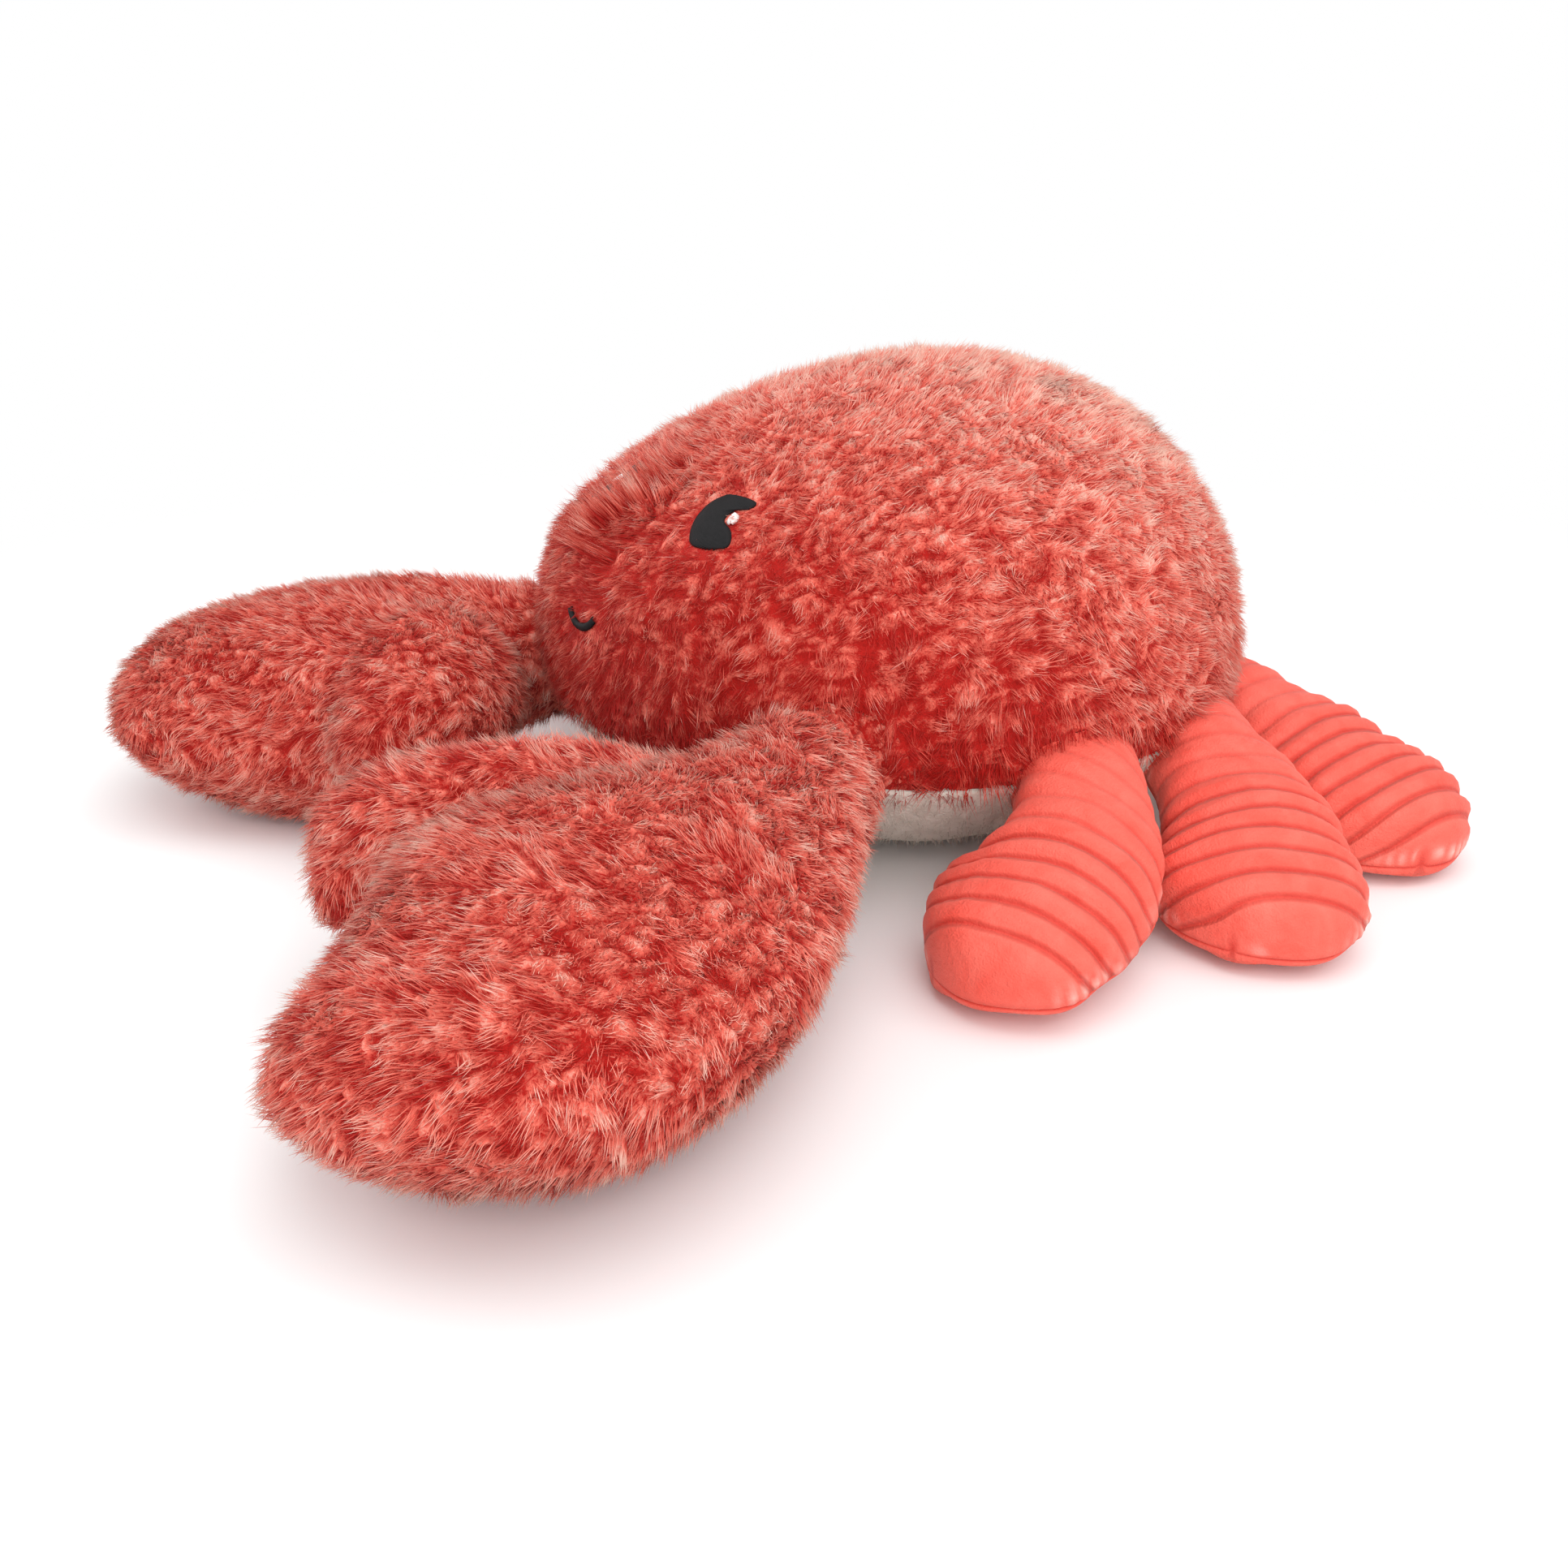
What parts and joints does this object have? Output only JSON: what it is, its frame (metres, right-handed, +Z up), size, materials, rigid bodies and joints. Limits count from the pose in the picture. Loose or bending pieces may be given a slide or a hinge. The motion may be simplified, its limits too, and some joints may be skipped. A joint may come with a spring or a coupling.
{
  "type": "plush crab",
  "caption": "Stuffed toy crab with a domed coral fur body on a cream belly, furry mitten claws, ribbed velour legs and embroidered eyes and smile.",
  "frame": {"origin": "centre of the flat of the belly's underside, on the surface that the crab lies on", "axes": "+Z up, -Y the way the face looks, +X towards the crab's left side"},
  "size_m": [0.2825, 0.2746, 0.1065],
  "materials": {
    "coral_fur": "shaggy short-pile plush fur",
    "cream_plush": "clipped short-pile plush",
    "coral_velour": "ribbed velour with a soft sheen",
    "fibrefill": "loose white polyester fibre",
    "black_thread": "satin-stitched embroidery thread",
    "white_thread": "satin-stitched embroidery thread"
  },
  "bodies": {
    "root": {"shell": "coral_fur", "belly": "cream_plush", "body_filling": "fibrefill", "mouth": "black_thread", "left_claw": "coral_fur", "left_claw_filling": "fibrefill", "left_leg_1": "coral_velour", "left_leg_1_filling": "fibrefill", "left_leg_2": "coral_velour", "left_leg_2_filling": "fibrefill", "left_leg_3": "coral_velour", "left_leg_3_filling": "fibrefill", "left_eye": "black_thread", "left_eye_highlight": "white_thread", "right_claw": "coral_fur", "right_claw_filling": "fibrefill", "right_leg_1": "coral_velour", "right_leg_1_filling": "fibrefill", "right_leg_2": "coral_velour", "right_leg_2_filling": "fibrefill", "right_leg_3": "coral_velour", "right_leg_3_filling": "fibrefill", "right_eye": "black_thread", "right_eye_highlight": "white_thread"}
  },
  "joints": []
}
